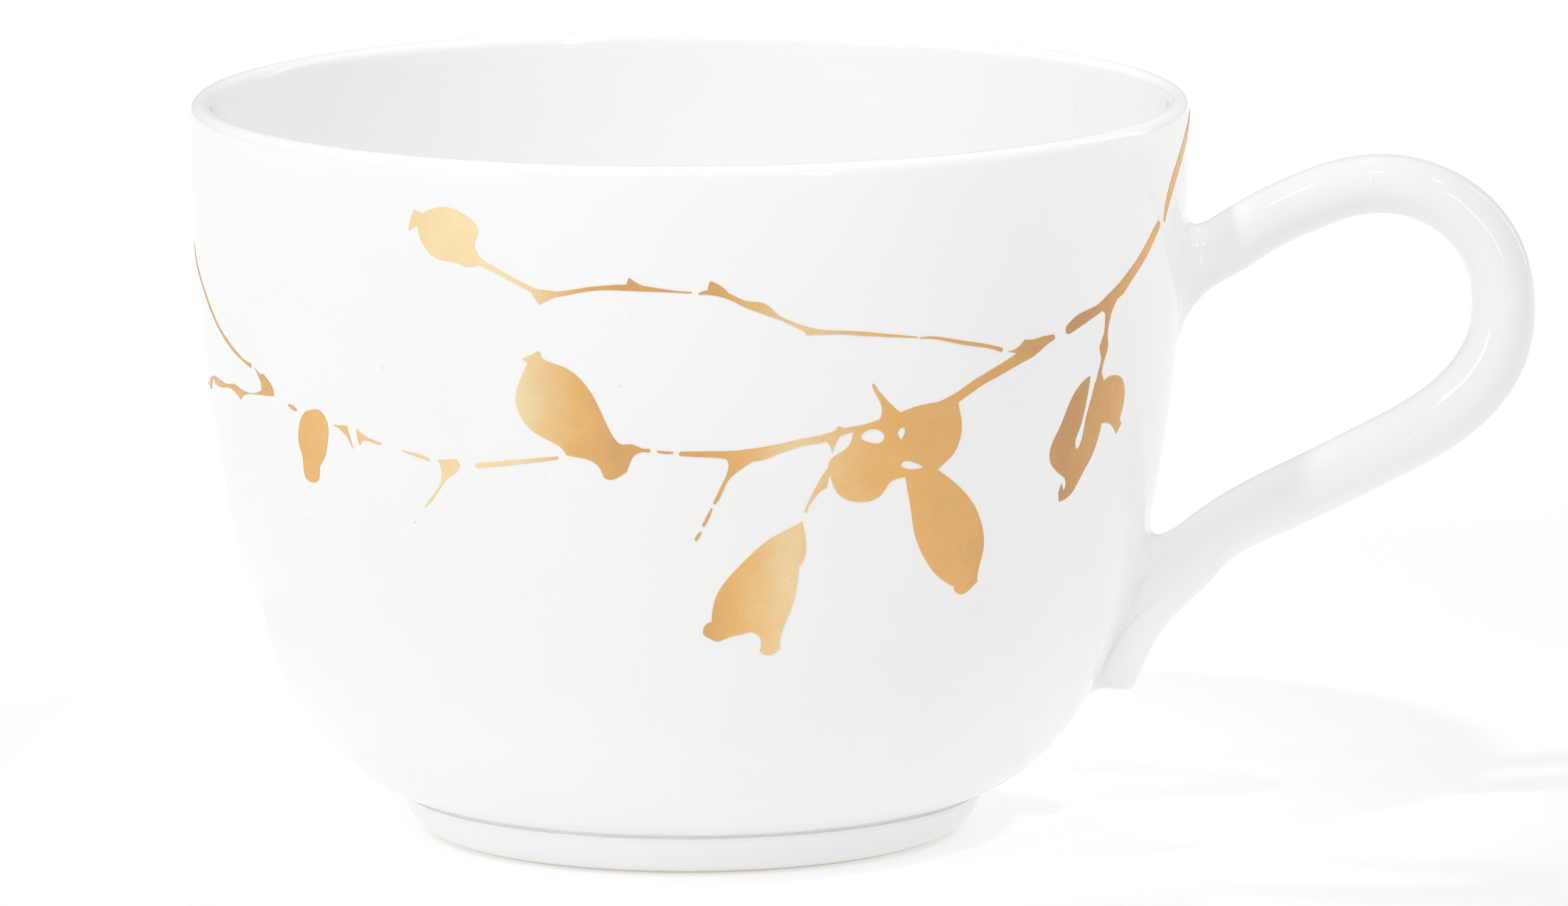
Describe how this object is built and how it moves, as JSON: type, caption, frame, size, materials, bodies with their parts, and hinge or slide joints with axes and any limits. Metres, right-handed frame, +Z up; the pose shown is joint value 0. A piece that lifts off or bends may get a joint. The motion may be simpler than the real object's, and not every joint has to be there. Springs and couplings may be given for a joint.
{
  "type": "teacup",
  "caption": "White porcelain teacup with a rounded bowl, undercut foot ring, slender loop handle and a gold branch decoration.",
  "frame": {"origin": "on the cup's axis, at the surface that the foot ring stands on", "axes": "+Z up along the cup's axis, +X towards the handle, -Y towards the decorated front"},
  "size_m": [0.1211, 0.0898, 0.0667],
  "materials": {
    "bowl_glaze": "clear gloss glaze over white porcelain",
    "foot_glaze": "clear gloss glaze, standing rim bare",
    "handle_glaze": "clear gloss glaze over white porcelain",
    "gold": "satin overglaze gold"
  },
  "bodies": {
    "root": {"cup_bowl": "bowl_glaze", "foot_ring": "foot_glaze", "foot_slip_joint": "foot_glaze", "gold_back_berry": "gold", "gold_back_bud": "gold", "gold_back_leaf": "gold", "gold_back_sprig": "gold", "gold_broken_stem": "gold", "gold_fork_dashes": "gold", "gold_left_berry": "gold", "gold_left_bud": "gold", "gold_left_spur": "gold", "gold_left_stem": "gold", "gold_lower_leaf": "gold", "gold_main_branch": "gold", "gold_right_branch": "gold", "gold_rim_branch": "gold", "gold_side_twig_lower": "gold", "gold_side_twig_upper": "gold", "gold_upper_twig_left": "gold", "gold_upper_twig_right": "gold", "handle": "handle_glaze", "lower_slip_joint": "handle_glaze", "upper_slip_joint": "handle_glaze"}
  },
  "joints": []
}
